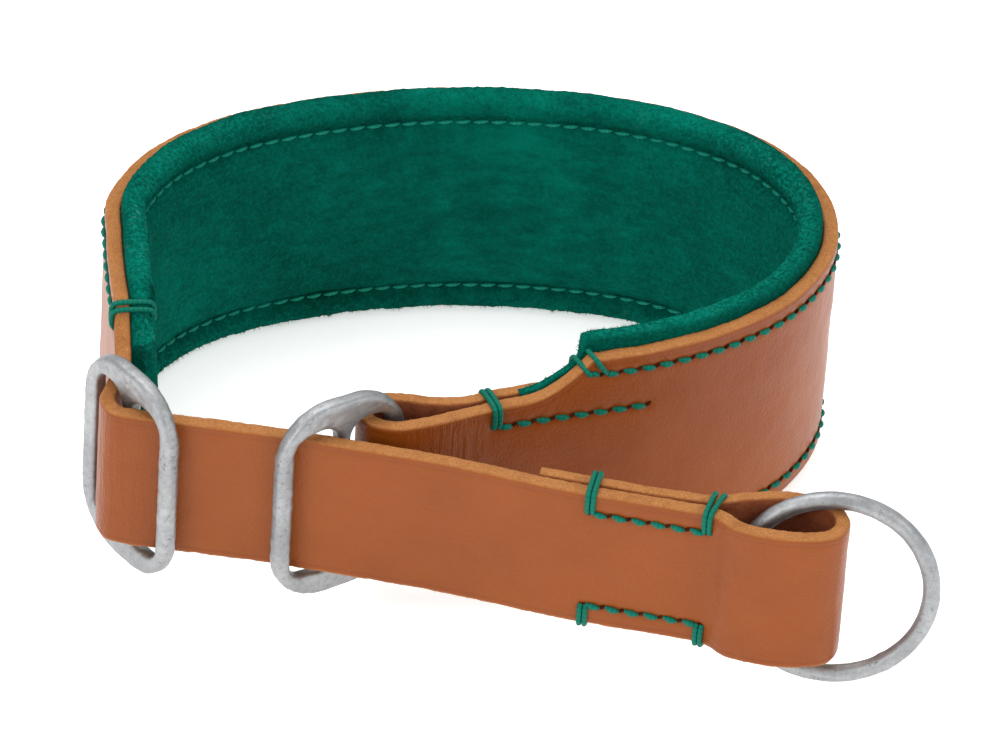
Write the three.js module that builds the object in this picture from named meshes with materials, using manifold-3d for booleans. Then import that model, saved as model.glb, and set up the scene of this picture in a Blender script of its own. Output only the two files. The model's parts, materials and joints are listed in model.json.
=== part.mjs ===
// Martingale (limited-slip) dog collar: a padded leather band 40 mm wide whose left end runs on as a
// 25 mm control strap. The strap is woven through a stop ring, runs across the front through a slide
// ring held by the band's right tongue, and ends in a sewn fold that carries the lead ring.
// Millimetres, +Z up. +X runs along the front strap towards the lead ring, -Y faces the strap's outside.
// The band stands on its lining's lower rim; the origin is the middle of the collar's box, at its base.
import * as THREE from "three";
import { mergeVertices } from "three/addons/utils/BufferGeometryUtils.js";
import Module from "manifold-3d";

const wasm = await Module();
wasm.setup();

// ---- driving dimensions -------------------------------------------------------------------------
const BAND_WIDTH = 39; // height of the padded band's leather
const STRAP_WIDTH = 25; // height of both tongues and of the control strap
const LEATHER = 2.6; // thickness of the outer leather
const SKIVED = 2.2; // the folded-back ends are pared thinner
const GAP = 0.3; // air between pieces that touch on the real collar
const LINING = 1.2; // suede thickness
const BUILD = 7.2; // leather, padding and lining together
const RIM_PROUD = 1.6; // the lining's rolled rims stand this far past the leather's edges
const RIM_FADE = 4; // length over which they come level with the leather, before the shoulder
const FLANGE_STUB = 0.25; // depth left of the lining's turned-in edges where there is no padding
const THREAD = 0.55; // waxed thread, laid flat
const BAND_INSET = 3.2; // the band's seam lines, in from the cut edge
const TONGUE_INSET = 3.6; // the same on the tongue and the strap
const STRAP_DROOP = 1.0; // the free end of the control strap hangs this much lower

const RING_LENGTH = 23; // two-window ring frames, outside to outside along the strap
const RING_HEIGHT = 36.4;
const RING_TAPER = 1.0; // the tongue side of the frame is this much lower
const RING_BAR = 2.9; // width of the upright bars
const RING_CROSSBAR = 2.4;
const RING_THICKNESS = 2.7;
const RING_RAIL = 4.2; // height of the top and bottom rails
const RING_CORNER = 7.6;
const RING_BEVEL = 0.7;
const WINDOW_CORNER = 2.2;
const WINDOW_TAPER = 1.0; // each window is this much lower beside its outer bar than at the crossbar

const LEAD_RING_RADIUS = 15.4; // to the middle of the wire
const LEAD_WIRE = 2.8;

const STRAP_MIDDLE = 20; // height of the strap's middle line
const STRAP_LOW = STRAP_MIDDLE - STRAP_WIDTH / 2;
const STRAP_HIGH = STRAP_MIDDLE + STRAP_WIDTH / 2;

// ---- plan view of the leather -------------------------------------------------------------------
// Each path follows the grain side (the outside) of the leather, from the middle of the back.
const LEFT_PLAN = [
  [0, 39.6], [-10.2, 38], [-20.4, 35.3], [-31.6, 31], [-42.8, 24.7], [-52.9, 14.2], [-58, 1],
  [-57.4, -9], [-56, -20], [-54.5, -29], [-53.9, -35], [-54.9, -40.5], [-55.5, -44.2], [-53.8, -47.8],
  [-50.2, -49], [-45, -49.5], [-36, -50.3], [-26, -51.3], [-14, -53], [-4, -54.4], [4, -55.9],
  [15, -58.4], [26, -60.3], [36, -61.8], [41, -63], [43.8, -65.5], [48, -67], [52, -67.5],
  [57, -67.1], [60.6, -65.4], [62, -61.9], [60.8, -58.2], [57, -55.6], [51.5, -54.8],
  [45.3, -55.8], [41.5, -57], [36, -56.6], [26, -55], [14, -52.8],
];
const RIGHT_PLAN = [
  [0, 39.6], [10.7, 40.1], [22.7, 39.3], [36.1, 35.8], [49.2, 28], [57.4, 15.5], [58.7, 1],
  [52.8, -13.6], [42.2, -24.2], [30.9, -30.8], [25, -33.2], [19, -35.4], [13, -37.6], [7, -40.2],
  [1, -43.3], [-4, -45.9], [-9, -47.4], [-13.7, -46.1], [-15.5, -42.2], [-13.4, -38.6], [-9.3, -37.4],
  [-4.5, -37.8], [0.3, -37.3], [5.5, -34.9], [11.4, -32.4], [17.4, -30.3], [23.3, -28.2], [28.6, -26],
];

// A plan path with arc lengths: place(s) gives the point, and the inward normal, s mm along it.
function planPath(points, inwardSide) {
  const curve = new THREE.CatmullRomCurve3(
    points.map(([x, y]) => new THREE.Vector3(x, y, 0)), false, "centripetal");
  curve.arcLengthDivisions = 1200;
  const length = curve.getLength();
  const place = (s) => {
    const u = THREE.MathUtils.clamp(s / length, 0, 1);
    const tangent = curve.getTangentAt(u);
    return {
      point: curve.getPointAt(u),
      inward: new THREE.Vector3(-tangent.y, tangent.x, 0).multiplyScalar(inwardSide),
    };
  };
  // Arc length of the path's point nearest to (x, y).
  const at = (x, y) => {
    let best = 0;
    let bestDistance = Infinity;
    for (let s = 0; s <= length; s += 0.25) {
      const distance = place(s).point.distanceTo(new THREE.Vector3(x, y, 0));
      if (distance < bestDistance) {
        bestDistance = distance;
        best = s;
      }
    }
    return best;
  };
  return { length, place, at };
}

const left = planPath(LEFT_PLAN, 1);
const right = planPath(RIGHT_PLAN, -1);

// ---- stations along the two paths ---------------------------------------------------------------
const LEFT_AT = {
  shoulderStart: left.at(-55, -26.5),
  shoulderEnd: left.at(-54, -36),
  bandEnd: left.at(-54.1, -36.8),
  bendEnd: left.at(-45, -49.5),
  loopStart: left.at(41.5, -63.3),
  loopEnd: left.at(43.5, -56.8),
};
const RIGHT_AT = {
  shoulderStart: right.at(20.9, -34.7),
  shoulderEnd: right.at(10.5, -38.7),
  loopStart: right.at(-1, -44.2),
  loopEnd: right.at(-1, -37.5),
};
const BACK_GAP = 0.35; // half the slit between the two halves' leather at the back
const LINING_BACK_GAP = 0.8; // the same for the lining, which closes up as the collar tightens

// How far the band's edges have come in, from 0 on the band to 1 on the tongue.
// The cut is steep at the band's corner and runs out flat on the tongue.
function taper(s, { shoulderStart, shoulderEnd }) {
  const t = THREE.MathUtils.clamp((s - shoulderStart) / (shoulderEnd - shoulderStart), 0, 1);
  return 1 - (1 - t) ** 2;
}
const droop = (s) => STRAP_DROOP * THREE.MathUtils.smoothstep(s, LEFT_AT.bendEnd, LEFT_AT.loopStart);
const lowEdge = (s, stations) =>
  STRAP_LOW * taper(s, stations) - (stations === LEFT_AT ? droop(s) : 0);
const highEdge = (s, stations) =>
  THREE.MathUtils.lerp(BAND_WIDTH, STRAP_HIGH, taper(s, stations)) - (stations === LEFT_AT ? droop(s) : 0);

// ---- closed strips that follow a path -----------------------------------------------------------
// section(s) gives the cross-section at s as [offset inward, height] corners, the same number each time.
function strip(path, from, to, steps, section) {
  const flat = (s) => section(s).map(([offset, z]) => new THREE.Vector2(offset, z));
  const clockwise = THREE.ShapeUtils.isClockWise(flat(from));
  const corner = (s) => (clockwise ? flat(s).reverse() : flat(s));
  const rings = [];
  for (let i = 0; i <= steps; i++) {
    const s = from + ((to - from) * i) / steps;
    const { point, inward } = path.place(s);
    rings.push(corner(s).map(({ x: offset, y: z }) =>
      new THREE.Vector3(point.x + inward.x * offset, point.y + inward.y * offset, z)));
  }
  const corners = rings[0].length;
  const index = [];
  for (let i = 0; i < steps; i++) {
    for (let j = 0; j < corners; j++) {
      const k = (j + 1) % corners;
      const a = i * corners + j;
      const b = i * corners + k;
      index.push(a, b, b + corners, a, b + corners, a + corners);
    }
  }
  const last = steps * corners;
  for (const [a, b, c] of THREE.ShapeUtils.triangulateShape(corner(from), [])) index.push(a, c, b);
  for (const [a, b, c] of THREE.ShapeUtils.triangulateShape(corner(to), [])) {
    index.push(last + a, last + b, last + c);
  }
  const geometry = new THREE.BufferGeometry();
  geometry.setAttribute("position",
    new THREE.Float32BufferAttribute(rings.flat().flatMap((p) => [p.x, p.y, p.z]), 3));
  geometry.setIndex(index);
  return facingOut(geometry);
}

// Turns a closed geometry's faces round when they point inwards.
function facingOut(geometry) {
  const position = geometry.getAttribute("position");
  const index = geometry.getIndex().array;
  const [a, b, c] = [new THREE.Vector3(), new THREE.Vector3(), new THREE.Vector3()];
  let volume = 0;
  for (let i = 0; i < index.length; i += 3) {
    a.fromBufferAttribute(position, index[i]);
    b.fromBufferAttribute(position, index[i + 1]);
    c.fromBufferAttribute(position, index[i + 2]);
    volume += a.dot(b.cross(c));
  }
  if (volume < 0) {
    for (let i = 0; i < index.length; i += 3) [index[i + 1], index[i + 2]] = [index[i + 2], index[i + 1]];
  }
  return geometry;
}

const rectangle = (inner, outer, low, high) => [[inner, low], [outer, low], [outer, high], [inner, high]];

// The outer leather between two stations, full thickness or pared.
function leatherStrip(path, stations, from, to, steps, thickness = () => LEATHER) {
  return strip(path, from, to, steps,
    (s) => rectangle(0, thickness(s), lowEdge(s, stations), highEdge(s, stations)));
}

// ---- booleans -----------------------------------------------------------------------------------
function solidOf(geometry) {
  const bare = new THREE.BufferGeometry();
  bare.setAttribute("position", geometry.getAttribute("position"));
  if (geometry.getIndex()) bare.setIndex(geometry.getIndex());
  const merged = mergeVertices(bare, 1e-4);
  return new wasm.Manifold(new wasm.Mesh({
    numProp: 3,
    vertProperties: new Float32Array(merged.getAttribute("position").array),
    triVerts: new Uint32Array(merged.getIndex().array),
  }));
}

function geometryOf(solid) {
  const mesh = solid.getMesh();
  const geometry = new THREE.BufferGeometry();
  geometry.setAttribute("position", new THREE.BufferAttribute(mesh.vertProperties, 3));
  geometry.setIndex(new THREE.BufferAttribute(mesh.triVerts, 1));
  return geometry;
}

const joined = (...geometries) => geometryOf(geometries.map(solidOf).reduce((a, b) => a.add(b)));

// ---- soft parts ---------------------------------------------------------------------------------
const LINING_INNER = BUILD - LINING; // where the suede's hidden face lies
const FLANGE_FADE = 6; // length over which the turned-in edges run out towards the shoulder
const PADDING_SHORT = 15; // the padding ends this far before the shoulder

// The suede lining: a sheet with its two long edges turned in over the padding.
function lining(path, stations, end) {
  const flangeEnd = stations.shoulderStart - 1;
  return strip(path, LINING_BACK_GAP, end, 64, (s) => {
    const open = THREE.MathUtils.smoothstep(s, flangeEnd - FLANGE_FADE, flangeEnd);
    const turnedIn = THREE.MathUtils.lerp(LEATHER + GAP, LINING_INNER - FLANGE_STUB, open);
    const proud = RIM_PROUD * (1 - THREE.MathUtils.smoothstep(
      s, stations.shoulderStart - RIM_FADE, stations.shoulderStart));
    const low = lowEdge(s, stations) - proud;
    const high = highEdge(s, stations) + proud;
    return [
      [turnedIn, low], [BUILD, low], [BUILD, high], [turnedIn, high],
      [turnedIn, high - LINING], [LINING_INNER, high - LINING],
      [LINING_INNER, low + LINING], [turnedIn, low + LINING],
    ];
  });
}

function padding(path, stations) {
  const inset = LINING + GAP - RIM_PROUD;
  const section = rectangle(LEATHER + GAP, LINING_INNER - GAP, inset, BAND_WIDTH - inset);
  return strip(path, LINING_BACK_GAP, stations.shoulderStart - PADDING_SHORT, 40, () => section);
}

// ---- threads ------------------------------------------------------------------------------------
const FACE = -GAP - THREAD; // a thread on the grain side lies from here to -GAP

// A wrap: thread taken over the upper or lower edge of the work, from face to face.
function wrap(path, s, back, edge, side, reach) {
  const out = edge + side * (GAP + THREAD);
  const near = edge + side * GAP;
  const end = edge - side * reach;
  const corners = [
    [FACE, end], [-GAP, end], [-GAP, near], [back + GAP, near], [back + GAP, end],
    [back + GAP + THREAD, end], [back + GAP + THREAD, out], [FACE, out],
  ];
  return strip(path, s - THREAD, s + THREAD, 1, () => corners);
}

// A run of stitches along one face, at a constant distance from the edge.
function run(path, from, to, steps, offset, height) {
  return strip(path, from, to, steps, (s) =>
    rectangle(offset, offset + THREAD, height(s) - THREAD, height(s) + THREAD));
}

const WRAP_PAST_CORNER = 1.8; // the band's seams end in a wrap this far down the shoulder

// One long seam of the band: outside run, wrap over the shoulder, inside run.
function bandSeam(path, stations, side) {
  const wrapAt = stations.shoulderStart + WRAP_PAST_CORNER;
  const edge = (s) => (side > 0 ? highEdge(s, stations) : lowEdge(s, stations));
  const height = (s) => edge(s) - side * BAND_INSET;
  return joined(
    run(path, BACK_GAP, wrapAt, 30, FACE, height),
    run(path, LINING_BACK_GAP, wrapAt, 30, BUILD + GAP, height),
    wrap(path, wrapAt, BUILD, edge(wrapAt - 1.2 * THREAD), side, BAND_INSET + 3 * THREAD));
}

const TONGUE_SEAM_END = right.at(30, -31.2);
const TONGUE_WRAP = right.at(6.5, -40.5);

// The right tongue's seam: a run on the outside, ending in a wrap over the tongue's edge.
function tongueSeam(side) {
  const edge = side > 0 ? STRAP_HIGH : STRAP_LOW;
  const height = () => edge - side * TONGUE_INSET;
  const back = LEATHER + GAP + SKIVED + GAP;
  return joined(
    run(right, TONGUE_SEAM_END, TONGUE_WRAP, 8, FACE, height),
    wrap(right, TONGUE_WRAP, back, edge, side, TONGUE_INSET + THREAD));
}

const SEWN_SLACK = 1.8; // the sewn-down end lies this loosely on the strap
const STRAP_SEAM = [left.at(21.8, -59.7), left.at(40, -62.7)];

// A seam that closes the lead ring's fold: a run on the outside with a wrap at each end.
function strapSeam(side) {
  const edge = (s) => (side > 0 ? highEdge(s, LEFT_AT) : lowEdge(s, LEFT_AT));
  const back = LEATHER + SKIVED + SEWN_SLACK;
  return joined(
    run(left, ...STRAP_SEAM, 8, FACE, (s) => edge(s) - side * TONGUE_INSET),
    ...STRAP_SEAM.map((s) => wrap(left, s, back, edge(s), side, TONGUE_INSET + THREAD)));
}

// ---- rings --------------------------------------------------------------------------------------
// A four-sided outline with round corners; corners run anticlockwise.
function roundedOutline(corners, radius, target) {
  corners.forEach((corner, i) => {
    const p = new THREE.Vector2(...corner);
    const before = new THREE.Vector2(...corners[(i + 3) % 4]).sub(p).normalize();
    const after = new THREE.Vector2(...corners[(i + 1) % 4]).sub(p).normalize();
    const half = Math.acos(before.dot(after)) / 2;
    const reach = radius / Math.tan(half);
    const start = p.clone().addScaledVector(before, reach);
    const end = p.clone().addScaledVector(after, reach);
    const centre = before.add(after).normalize().multiplyScalar(radius / Math.sin(half)).add(p);
    if (i === 0) target.moveTo(start.x, start.y);
    else target.lineTo(start.x, start.y);
    const startAngle = Math.atan2(start.y - centre.y, start.x - centre.x);
    const endAngle = Math.atan2(end.y - centre.y, end.x - centre.x);
    target.absarc(centre.x, centre.y, radius, startAngle, endAngle, false);
  });
  target.closePath();
  return target;
}

// A two-window frame. Local x runs from the strap side's bar (x = 0) to the tongue side's bar, local y
// is its height, and z its thickness, centred.
const BAR_SPAN = RING_LENGTH - RING_BAR; // between the outer bars' middles
const CROSSBAR_AT = BAR_SPAN * 0.52; // of the crossbar's middle, from the strap bar's middle
function ringFrame() {
  const half = RING_BAR / 2;
  const box = (x0, x1, h0, h1) => [[x0, -h0 / 2], [x1, -h1 / 2], [x1, h1 / 2], [x0, h0 / 2]];
  const shape = roundedOutline(
    box(-half, BAR_SPAN + half, RING_HEIGHT, RING_HEIGHT - RING_TAPER), RING_CORNER, new THREE.Shape());
  const inner = RING_HEIGHT - 2 * RING_RAIL;
  const crossHalf = RING_CROSSBAR / 2;
  shape.holes = [
    roundedOutline(box(half, CROSSBAR_AT - crossHalf, inner - WINDOW_TAPER, inner),
      WINDOW_CORNER, new THREE.Path()),
    roundedOutline(box(CROSSBAR_AT + crossHalf, BAR_SPAN - half, inner, inner - WINDOW_TAPER),
      WINDOW_CORNER, new THREE.Path()),
  ];
  const geometry = new THREE.ExtrudeGeometry(shape, {
    depth: RING_THICKNESS - 2 * RING_BEVEL, curveSegments: 4, bevelEnabled: true,
    bevelThickness: RING_BEVEL, bevelSize: RING_BEVEL, bevelOffset: -RING_BEVEL, bevelSegments: 1,
  });
  return geometry.translate(0, 0, RING_BEVEL - RING_THICKNESS / 2);
}

// ---- materials ----------------------------------------------------------------------------------
const material = (color, roughness, metalness = 0) =>
  new THREE.MeshStandardMaterial({ color, roughness, metalness });
const COGNAC = () => material(0xaa5f37, 0.5);
const SUEDE = () => material(0x066b53, 0.95);
const FOAM = () => material(0xd9d4c8, 0.95);
const WAXED = () => material(0x0b6a50, 0.6);
const TUMBLED = () => material(0xb4b7ba, 0.4, 1);

// ---- assembly -----------------------------------------------------------------------------------
const collar = new THREE.Group();

function add(name, geometry, surface, parent = collar) {
  const mesh = new THREE.Mesh(geometry, surface);
  mesh.name = name;
  parent.add(mesh);
  return mesh;
}

const CUT = GAP / 2; // half the slit where one length of leather meets the next

// Leather that is pared from full thickness to a folded-back end's as it goes round its ring.
const pared = ({ loopStart, loopEnd }) => (s) =>
  THREE.MathUtils.lerp(LEATHER, SKIVED, THREE.MathUtils.smoothstep(s, loopStart, loopEnd));

// Outer leather, left half: band, bend round the stop ring's crossbar, strap, fold, sewn-down end.
add("band_leather_left",
  leatherStrip(left, LEFT_AT, BACK_GAP, LEFT_AT.bandEnd - CUT, 56), COGNAC());
add("stop_ring_bend",
  leatherStrip(left, LEFT_AT, LEFT_AT.bandEnd + CUT, LEFT_AT.bendEnd - CUT, 18), COGNAC());
add("control_strap",
  leatherStrip(left, LEFT_AT, LEFT_AT.bendEnd + CUT, LEFT_AT.loopStart - CUT, 24), COGNAC());
add("lead_ring_fold",
  leatherStrip(left, LEFT_AT, LEFT_AT.loopStart + CUT, LEFT_AT.loopEnd - CUT, 36, pared(LEFT_AT)),
  COGNAC());
add("strap_sewn_end",
  leatherStrip(left, LEFT_AT, LEFT_AT.loopEnd + CUT, left.length, 8, () => SKIVED), COGNAC());

// Outer leather, right half: band and tongue, fold round the slide ring's end bar, tucked-in end.
add("band_leather_right",
  leatherStrip(right, RIGHT_AT, BACK_GAP, RIGHT_AT.loopStart - CUT, 64), COGNAC());
add("slide_ring_fold",
  leatherStrip(right, RIGHT_AT, RIGHT_AT.loopStart + CUT, RIGHT_AT.loopEnd - CUT, 30,
    pared(RIGHT_AT)), COGNAC());
add("tongue_tucked_end",
  leatherStrip(right, RIGHT_AT, RIGHT_AT.loopEnd + CUT, right.length, 10, () => SKIVED), COGNAC());

// Lining and padding.
const LINING_END_LEFT = left.at(-54.2, -32);
const LINING_END_RIGHT = right.at(11, -38.5);
add("suede_lining_left", lining(left, LEFT_AT, LINING_END_LEFT), SUEDE());
add("suede_lining_right", lining(right, RIGHT_AT, LINING_END_RIGHT), SUEDE());
add("foam_padding_left", padding(left, LEFT_AT), FOAM());
add("foam_padding_right", padding(right, RIGHT_AT), FOAM());

// Threads.
for (const [edgeName, side] of [["top", 1], ["bottom", -1]]) {
  add(`band_seam_${edgeName}_left`, bandSeam(left, LEFT_AT, side), WAXED());
  add(`band_seam_${edgeName}_right`, bandSeam(right, RIGHT_AT, side), WAXED());
  add(`tongue_seam_${edgeName}`, tongueSeam(side), WAXED());
  add(`strap_seam_${edgeName}`, strapSeam(side), WAXED());
}

// Rings. A frame's group stands at its strap side's bar and turns about the vertical.
function placedFrame(name, x, y, z, yaw) {
  const holder = new THREE.Group();
  holder.position.set(x, y, z);
  holder.rotation.set(Math.PI / 2, 0, THREE.MathUtils.degToRad(yaw), "ZYX");
  add(name, ringFrame(), TUMBLED(), holder);
  collar.add(holder);
}
placedFrame("stop_ring", -43.9, -52.1, 19.9, 129);
placedFrame("slide_ring", -25.9, -53.8, 20, 35.2);

const leadRing = add("lead_ring",
  new THREE.TorusGeometry(LEAD_RING_RADIUS, LEAD_WIRE / 2, 8, 44), TUMBLED());
leadRing.position.set(60.2, -60.9, 18);
leadRing.rotation.set(
  Math.PI / 2 - THREE.MathUtils.degToRad(7.5), 0, THREE.MathUtils.degToRad(-2), "ZYX");

// Origin: the middle of the box around the collar, at its base.
const model = new THREE.Group();
model.add(collar);
const box = new THREE.Box3().setFromObject(model, true);
collar.position.set(-(box.min.x + box.max.x) / 2, -(box.min.y + box.max.y) / 2, -box.min.z);

export default model;
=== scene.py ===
import bmesh
import bpy
import json
import math
import random
import numpy as np
from mathutils import Matrix, Vector


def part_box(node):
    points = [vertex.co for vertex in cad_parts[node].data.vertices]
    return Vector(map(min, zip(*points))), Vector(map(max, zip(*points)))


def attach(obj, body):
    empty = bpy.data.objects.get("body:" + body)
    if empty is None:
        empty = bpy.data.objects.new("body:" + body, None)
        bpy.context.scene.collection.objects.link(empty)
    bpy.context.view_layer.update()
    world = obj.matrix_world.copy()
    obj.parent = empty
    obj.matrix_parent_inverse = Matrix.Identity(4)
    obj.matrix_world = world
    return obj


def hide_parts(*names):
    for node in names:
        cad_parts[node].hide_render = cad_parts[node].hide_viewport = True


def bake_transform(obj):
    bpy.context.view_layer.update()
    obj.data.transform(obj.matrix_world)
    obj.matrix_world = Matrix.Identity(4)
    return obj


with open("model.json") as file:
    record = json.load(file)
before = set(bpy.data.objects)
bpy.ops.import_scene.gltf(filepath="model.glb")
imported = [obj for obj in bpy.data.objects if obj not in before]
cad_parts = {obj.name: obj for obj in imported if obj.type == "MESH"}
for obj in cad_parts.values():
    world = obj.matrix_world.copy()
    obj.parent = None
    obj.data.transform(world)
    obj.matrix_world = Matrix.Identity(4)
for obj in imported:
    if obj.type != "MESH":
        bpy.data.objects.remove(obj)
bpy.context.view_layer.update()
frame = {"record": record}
joints = {j["name"]: j for j in frame["record"]["behaviour"]["joints"]}

# Lengths are millimetres until a mesh is made. The leather's plan is drawn with its own origin, and
# the band's hinge, which stands at the middle of the back, places it in the row frame.
BACK = (0.0, 39.6)
hinge = joints["band_flex"]["pos_m"]
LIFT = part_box("band_leather_left")[0][2] * 1000  # height of the leather's lower edge
SHIFT = np.array([hinge[0] * 1000 - BACK[0], hinge[1] * 1000 - BACK[1], LIFT])
MM = 0.001

LEFT_PLAN = [
    (0, 39.6), (-10.2, 38), (-20.4, 35.3), (-31.6, 31), (-42.8, 24.7), (-52.9, 14.2), (-58, 1),
    (-57.4, -9), (-56, -20), (-54.5, -29), (-53.9, -35), (-54.9, -40.5), (-55.5, -44.2),
    (-53.8, -47.8), (-50.2, -49), (-45, -49.5), (-36, -50.3), (-26, -51.3), (-14, -53),
    (-4, -54.4), (4, -55.9), (15, -58.4), (26, -60.3), (36, -61.8), (41, -63), (43.8, -65.5),
    (48, -67), (52, -67.5), (57, -67.1), (60.6, -65.4), (62, -61.9), (60.8, -58.2),
    (57, -55.6), (51.5, -54.8), (45.3, -55.8), (41.5, -57), (36, -56.6), (26, -55), (14, -52.8),
]
RIGHT_PLAN = [
    (0, 39.6), (10.7, 40.1), (22.7, 39.3), (36.1, 35.8), (49.2, 28), (57.4, 15.5), (58.7, 1),
    (52.8, -13.6), (42.2, -24.2), (30.9, -30.8), (25, -33.2), (19, -35.4), (13, -37.6), (7, -40.2),
    (1, -43.3), (-4, -45.9), (-9, -47.4), (-13.7, -46.1), (-15.5, -42.2), (-13.4, -38.6),
    (-9.3, -37.4), (-4.5, -37.8), (0.3, -37.3), (5.5, -34.9), (11.4, -32.4), (17.4, -30.3),
    (23.3, -28.2), (28.6, -26),
]

BAND_WIDTH, STRAP_WIDTH, STRAP_MIDDLE = 39.0, 25.0, 20.0
STRAP_LOW = STRAP_MIDDLE - STRAP_WIDTH / 2
STRAP_HIGH = STRAP_MIDDLE + STRAP_WIDTH / 2
LEATHER, SKIVED = 2.6, 2.2  # thickness, full and pared
DROOP = 1.0  # how far the strap sinks between the stop ring and the lead ring
SPAN_SAMPLES = 60  # samples of the path between two of its points
FLOOR_CLEAR = 0.03  # the lining and the fibres stay this far above the floor


# ---- the leather's path: from the strap's sewn end, round the back, to the right tongue's end ----
class Plan:
    """A smooth curve through the points, measured along its length."""

    def __init__(self, points):
        p = np.array(points, float)
        p = np.vstack([2 * p[0] - p[1], p, 2 * p[-1] - p[-2]])
        out = []
        for i in range(1, len(p) - 2):
            a, b, c, d = p[i - 1:i + 3]
            da, db, dc = (math.sqrt(np.linalg.norm(q)) for q in (b - a, c - b, d - c))
            t1 = ((b - a) / da - (c - a) / (da + db) + (c - b) / db) * db
            t2 = ((c - b) / db - (d - b) / (db + dc) + (d - c) / dc) * db
            w = np.linspace(0, 1, SPAN_SAMPLES, endpoint=False)[:, None]
            out.append(b + t1 * w + (-3 * b + 3 * c - 2 * t1 - t2) * w ** 2
                       + (2 * b - 2 * c + t1 + t2) * w ** 3)
        self.xy = np.vstack(out + [p[-2:-1]])
        self.s = np.concatenate([[0], np.cumsum(np.linalg.norm(np.diff(self.xy, axis=0), axis=1))])
        t = np.gradient(self.xy, self.s, axis=0)
        t /= np.linalg.norm(t, axis=1)[:, None]
        self.inward = np.stack([t[:, 1], -t[:, 0]], 1)
        self.length = self.s[-1]

    def at(self, x, y):
        """The station along the path that lies nearest to a point of the plan."""
        return float(self.s[np.argmin(np.hypot(self.xy[:, 0] - x, self.xy[:, 1] - y))])

    def place(self, s, offset, z):
        """Points s along the path, offset inward from the grain side, at height z."""
        s, offset, z = np.broadcast_arrays(*(np.asarray(v, float) for v in (s, offset, z)))
        x = np.interp(s, self.s, self.xy[:, 0])
        y = np.interp(s, self.s, self.xy[:, 1])
        nx = np.interp(s, self.s, self.inward[:, 0])
        ny = np.interp(s, self.s, self.inward[:, 1])
        n = np.hypot(nx, ny)
        return np.stack([x + nx / n * offset + SHIFT[0], y + ny / n * offset + SHIFT[1],
                         z + SHIFT[2]], -1)


plan = Plan(LEFT_PLAN[::-1] + RIGHT_PLAN[1:])
S_LOOP_END = plan.at(43.5, -56.8)
S_LOOP_START = plan.at(41.5, -63.3)
S_BEND_END = plan.at(-45, -49.5)
S_LEFT_END = plan.at(-54.1, -36.8)
S_LEFT_SHOULDER_END = plan.at(-54, -36)
S_LEFT_SHOULDER = plan.at(-55, -26.5)
S_BACK = plan.at(*BACK)
S_RIGHT_SHOULDER = plan.at(20.9, -34.7)
S_RIGHT_SHOULDER_END = plan.at(10.5, -38.7)
S_RIGHT_LOOP = plan.at(-1, -44.2)
S_RIGHT_LOOP_END = plan.at(-1, -37.5)


def smooth(x, a, b):
    """0 below a and 1 above b, with a smooth rise between."""
    t = np.clip((np.asarray(x, float) - a) / (b - a), 0, 1)
    return t * t * (3 - 2 * t)


def taper(s):
    """0 on the band, 1 on the strap and tongue; steep at the band's corners."""
    s = np.asarray(s, float)
    left = np.clip((S_LEFT_SHOULDER - s) / (S_LEFT_SHOULDER - S_LEFT_SHOULDER_END), 0, 1)
    right = np.clip((s - S_RIGHT_SHOULDER) / (S_RIGHT_SHOULDER_END - S_RIGHT_SHOULDER), 0, 1)
    t = np.maximum(left, right)
    return 1 - (1 - t) ** 2


def droop(s):
    return DROOP * smooth(-np.asarray(s, float), -S_BEND_END, -S_LOOP_START)


def low(s):
    return STRAP_LOW * taper(s) - droop(s)


def high(s):
    return BAND_WIDTH + (STRAP_HIGH - BAND_WIDTH) * taper(s) - droop(s)


def thickness(s):
    """Full on the band and strap, pared on the folded-back ends."""
    s = np.asarray(s, float)
    sewn_end = 1 - smooth(s, S_LOOP_END, S_LOOP_START)
    tucked_end = smooth(s, S_RIGHT_LOOP, S_RIGHT_LOOP_END)
    return LEATHER + (SKIVED - LEATHER) * np.maximum(sewn_end, tucked_end)


def waves(seed, s, z, length, count=7):
    """A smooth, seeded, roughly unit-height unevenness over a surface."""
    r = random.Random(seed)
    total = 0.0
    for _ in range(count):
        a = r.uniform(0, math.tau)
        k = math.tau / (length * r.uniform(0.6, 1.7))
        total = total + np.sin(k * (math.cos(a) * s + math.sin(a) * z) + r.uniform(0, math.tau))
    return total / math.sqrt(count)


# ---- meshes -------------------------------------------------------------------------------------
def mesh_object(name, verts_mm, faces, mat, attributes=None, flat_faces=()):
    me = bpy.data.meshes.new(name)
    me.from_pydata([tuple(v) for v in np.asarray(verts_mm) * MM], [], faces)
    me.polygons.foreach_set("use_smooth", [True] * len(me.polygons))
    for i in flat_faces:
        me.polygons[i].use_smooth = False
    for key, values in (attributes or {}).items():
        a = me.attributes.new(key, "FLOAT", "POINT")
        a.data.foreach_set("value", np.asarray(values, np.float32))
    me.update()
    ob = bpy.data.objects.new(name, me)
    bpy.context.scene.collection.objects.link(ob)
    ob.data.materials.append(mat)
    return ob


def loft(name, grid, mat, attributes, end_values):
    """grid is (n, m, 3): n closed sections of m points. The ends are capped with vertices of their own,
    whose attributes are end_values."""
    n, m, _ = grid.shape
    i = np.arange(n - 1)[:, None] * m
    j = np.arange(m)[None, :]
    k = (j + 1) % m
    faces = np.stack([i + j, i + k, i + m + k, i + m + j], -1).reshape(-1, 4).tolist()
    caps = (len(faces), len(faces) + 1)
    base = n * m
    faces += [list(range(base + m - 1, base - 1, -1)), list(range(base + m, base + 2 * m))]
    verts = np.vstack([grid.reshape(-1, 3), grid[0], grid[-1]])
    values = {key: np.concatenate([v.reshape(-1), np.full(2 * m, end_values[key])])
              for key, v in attributes.items()}
    return mesh_object(name, verts, faces, mat, values, caps)


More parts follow.
